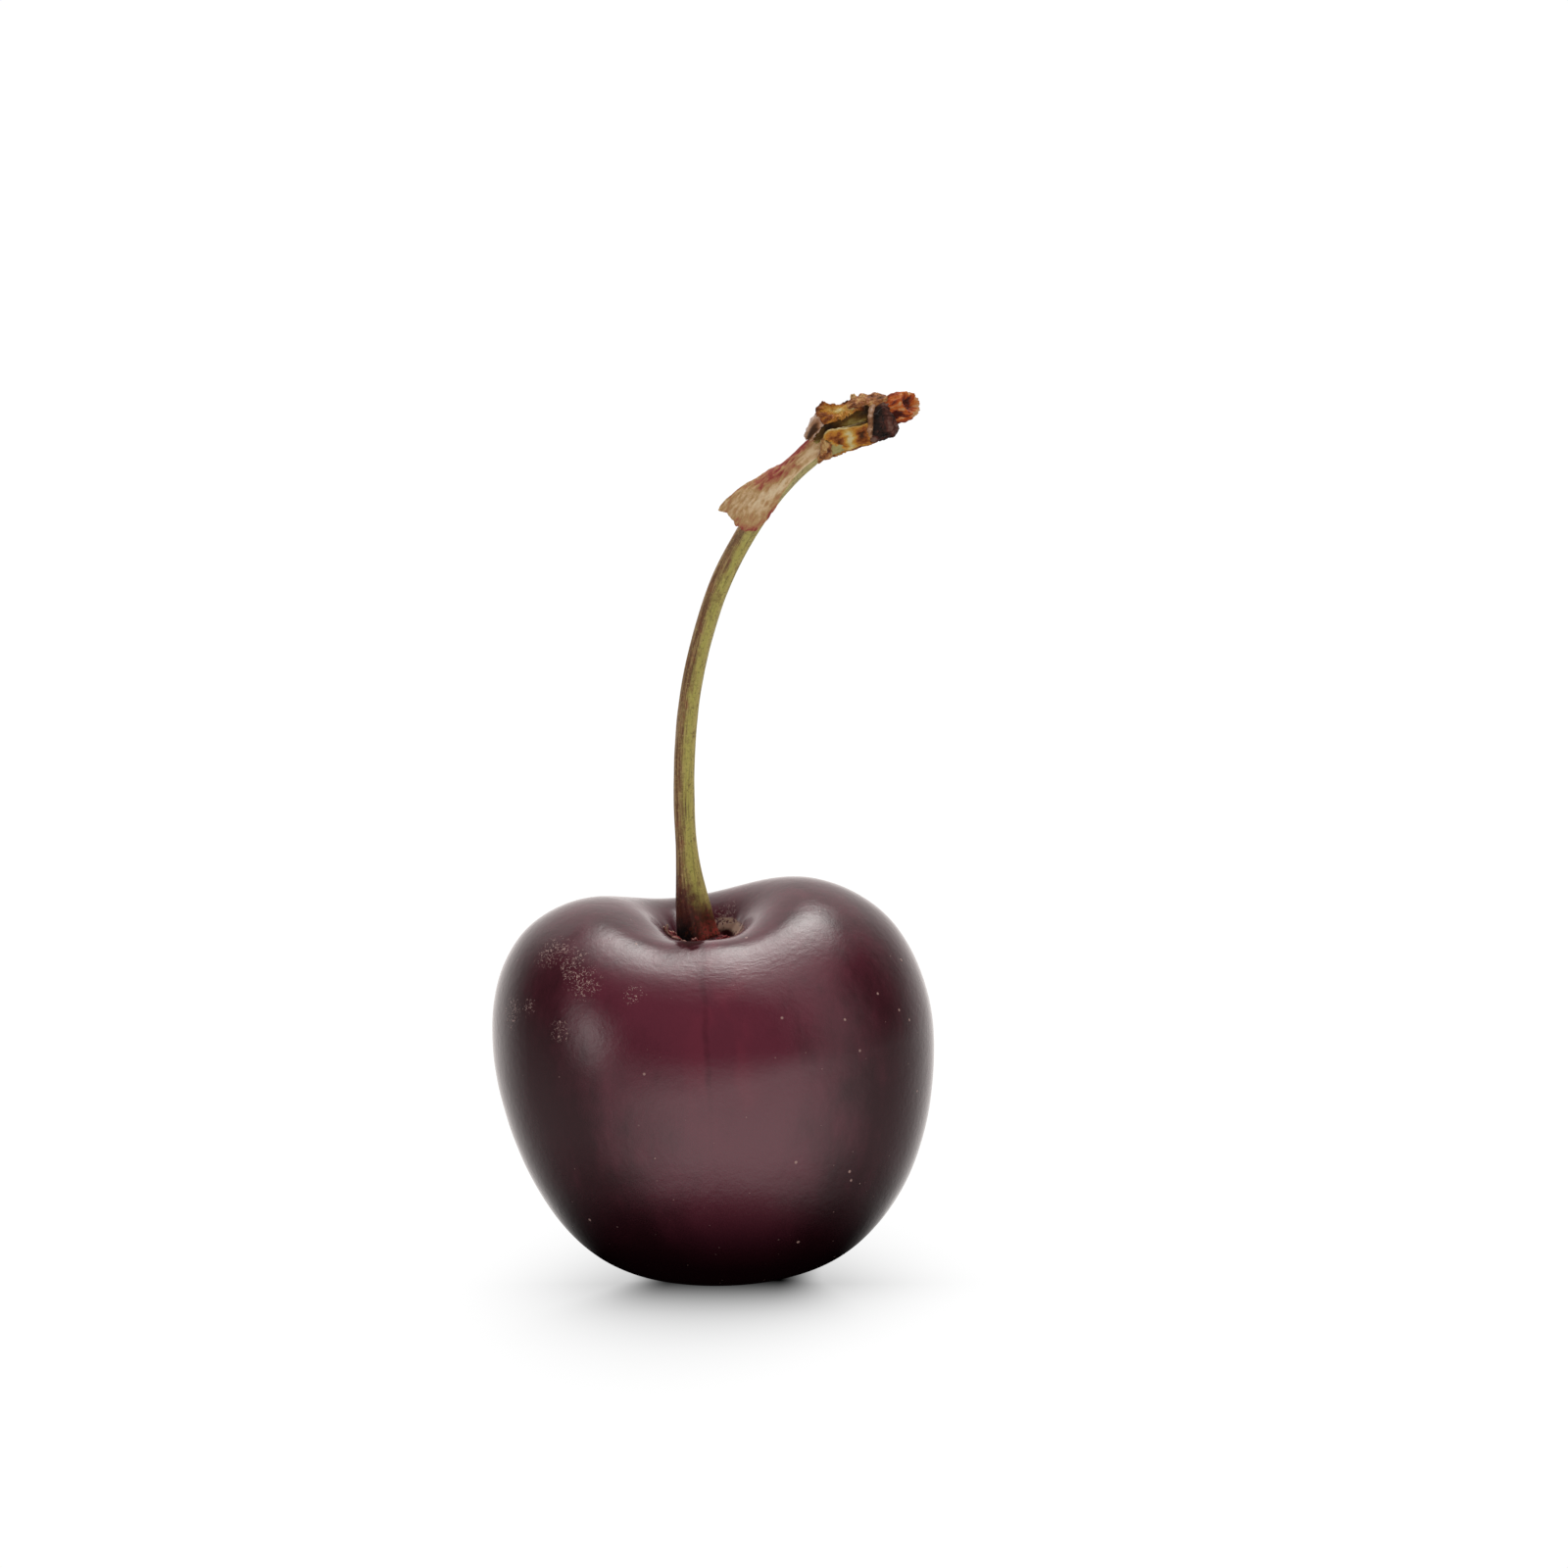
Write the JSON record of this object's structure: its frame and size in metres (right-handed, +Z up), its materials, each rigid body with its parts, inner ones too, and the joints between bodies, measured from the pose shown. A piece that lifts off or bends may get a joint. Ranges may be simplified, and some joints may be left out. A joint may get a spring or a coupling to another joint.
{
  "type": "sweet cherry",
  "caption": "Dark sweet cherry with a broad-shouldered fruit, a deep stalk cavity and a long bent stalk ending in a papery bract, dried bud scales and a torn bit of spur.",
  "frame": {"origin": "centre of the small flat spot that the fruit stands on", "axes": "+Z up, away from the flat spot and towards the stalk; +X towards the side that the stalk's upper end leans to; -Y towards the side of the fruit that carries the seam"},
  "size_m": [0.0282, 0.0246, 0.056],
  "materials": {
    "skin": "smooth waxy skin, very dark red, glossy",
    "stalk": "fresh stalk, olive green on one side and brown red on the other, finely fibrous, satin",
    "torn_red": "torn dried flesh, crimson to tan, matt",
    "papery": "papery dried leaf, tan with red edges, matt",
    "scale": "dried bud scale, ochre to brown, matt",
    "bark": "rough dark purple brown bark, matt",
    "torn_wood": "torn orange red wood, rough and matt"
  },
  "bodies": {
    "root": {"fruit": "skin", "flower_cup_ring": "torn_red", "stalk": "stalk", "stalk_bract": "papery", "upper_inner_scale": "scale", "lower_inner_scale": "scale", "back_inner_scale": "scale", "pale_flap_scale": "papery", "upper_shell_scale": "scale", "ridge_scale": "scale", "amber_lower_scale": "scale", "curled_lower_scale": "scale", "under_scale": "scale", "strap_scale": "papery", "back_scale": "scale", "upper_back_scale": "scale", "spur_bark": "bark", "torn_spur_wood": "torn_wood"}
  },
  "joints": []
}
